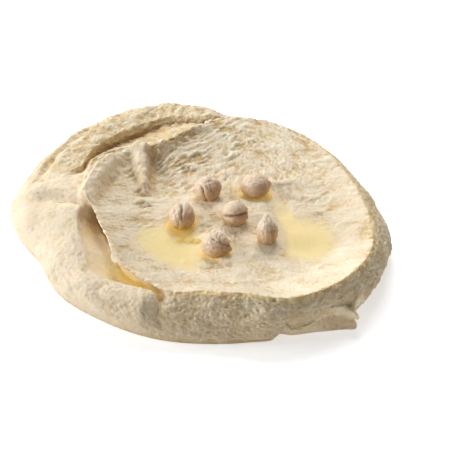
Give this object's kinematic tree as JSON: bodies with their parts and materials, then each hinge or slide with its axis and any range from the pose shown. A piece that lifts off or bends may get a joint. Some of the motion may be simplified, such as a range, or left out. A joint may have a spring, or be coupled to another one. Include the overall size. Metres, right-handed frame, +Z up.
{
  "type": "hummus",
  "caption": "Spoon-swirled spread of hummus with a shallow dish, a raised rim, chickpeas on top and oil lying in the hollows.",
  "frame": {"origin": "middle of the spread's box, on the surface that it lies on", "axes": "+Z up, +X along its longest side, +Y to the rear"},
  "size_m": [0.138, 0.1296, 0.0184],
  "materials": {
    "hummus": "moist, finely grained paste, pale beige and slightly translucent",
    "oil": "clear golden oil, glossy and see-through where thin",
    "chickpea": "cooked chickpea skin, pale brown with a soft sheen, wrinkled in the cleft"
  },
  "bodies": {
    "root": {"hummus": "hummus", "oil_left": "oil", "oil_right": "oil", "oil_trough": "oil", "chickpea_rear_left": "chickpea", "chickpea_rear_right": "chickpea", "chickpea_left": "chickpea", "chickpea_middle": "chickpea", "chickpea_front": "chickpea", "chickpea_right": "chickpea"}
  },
  "joints": []
}
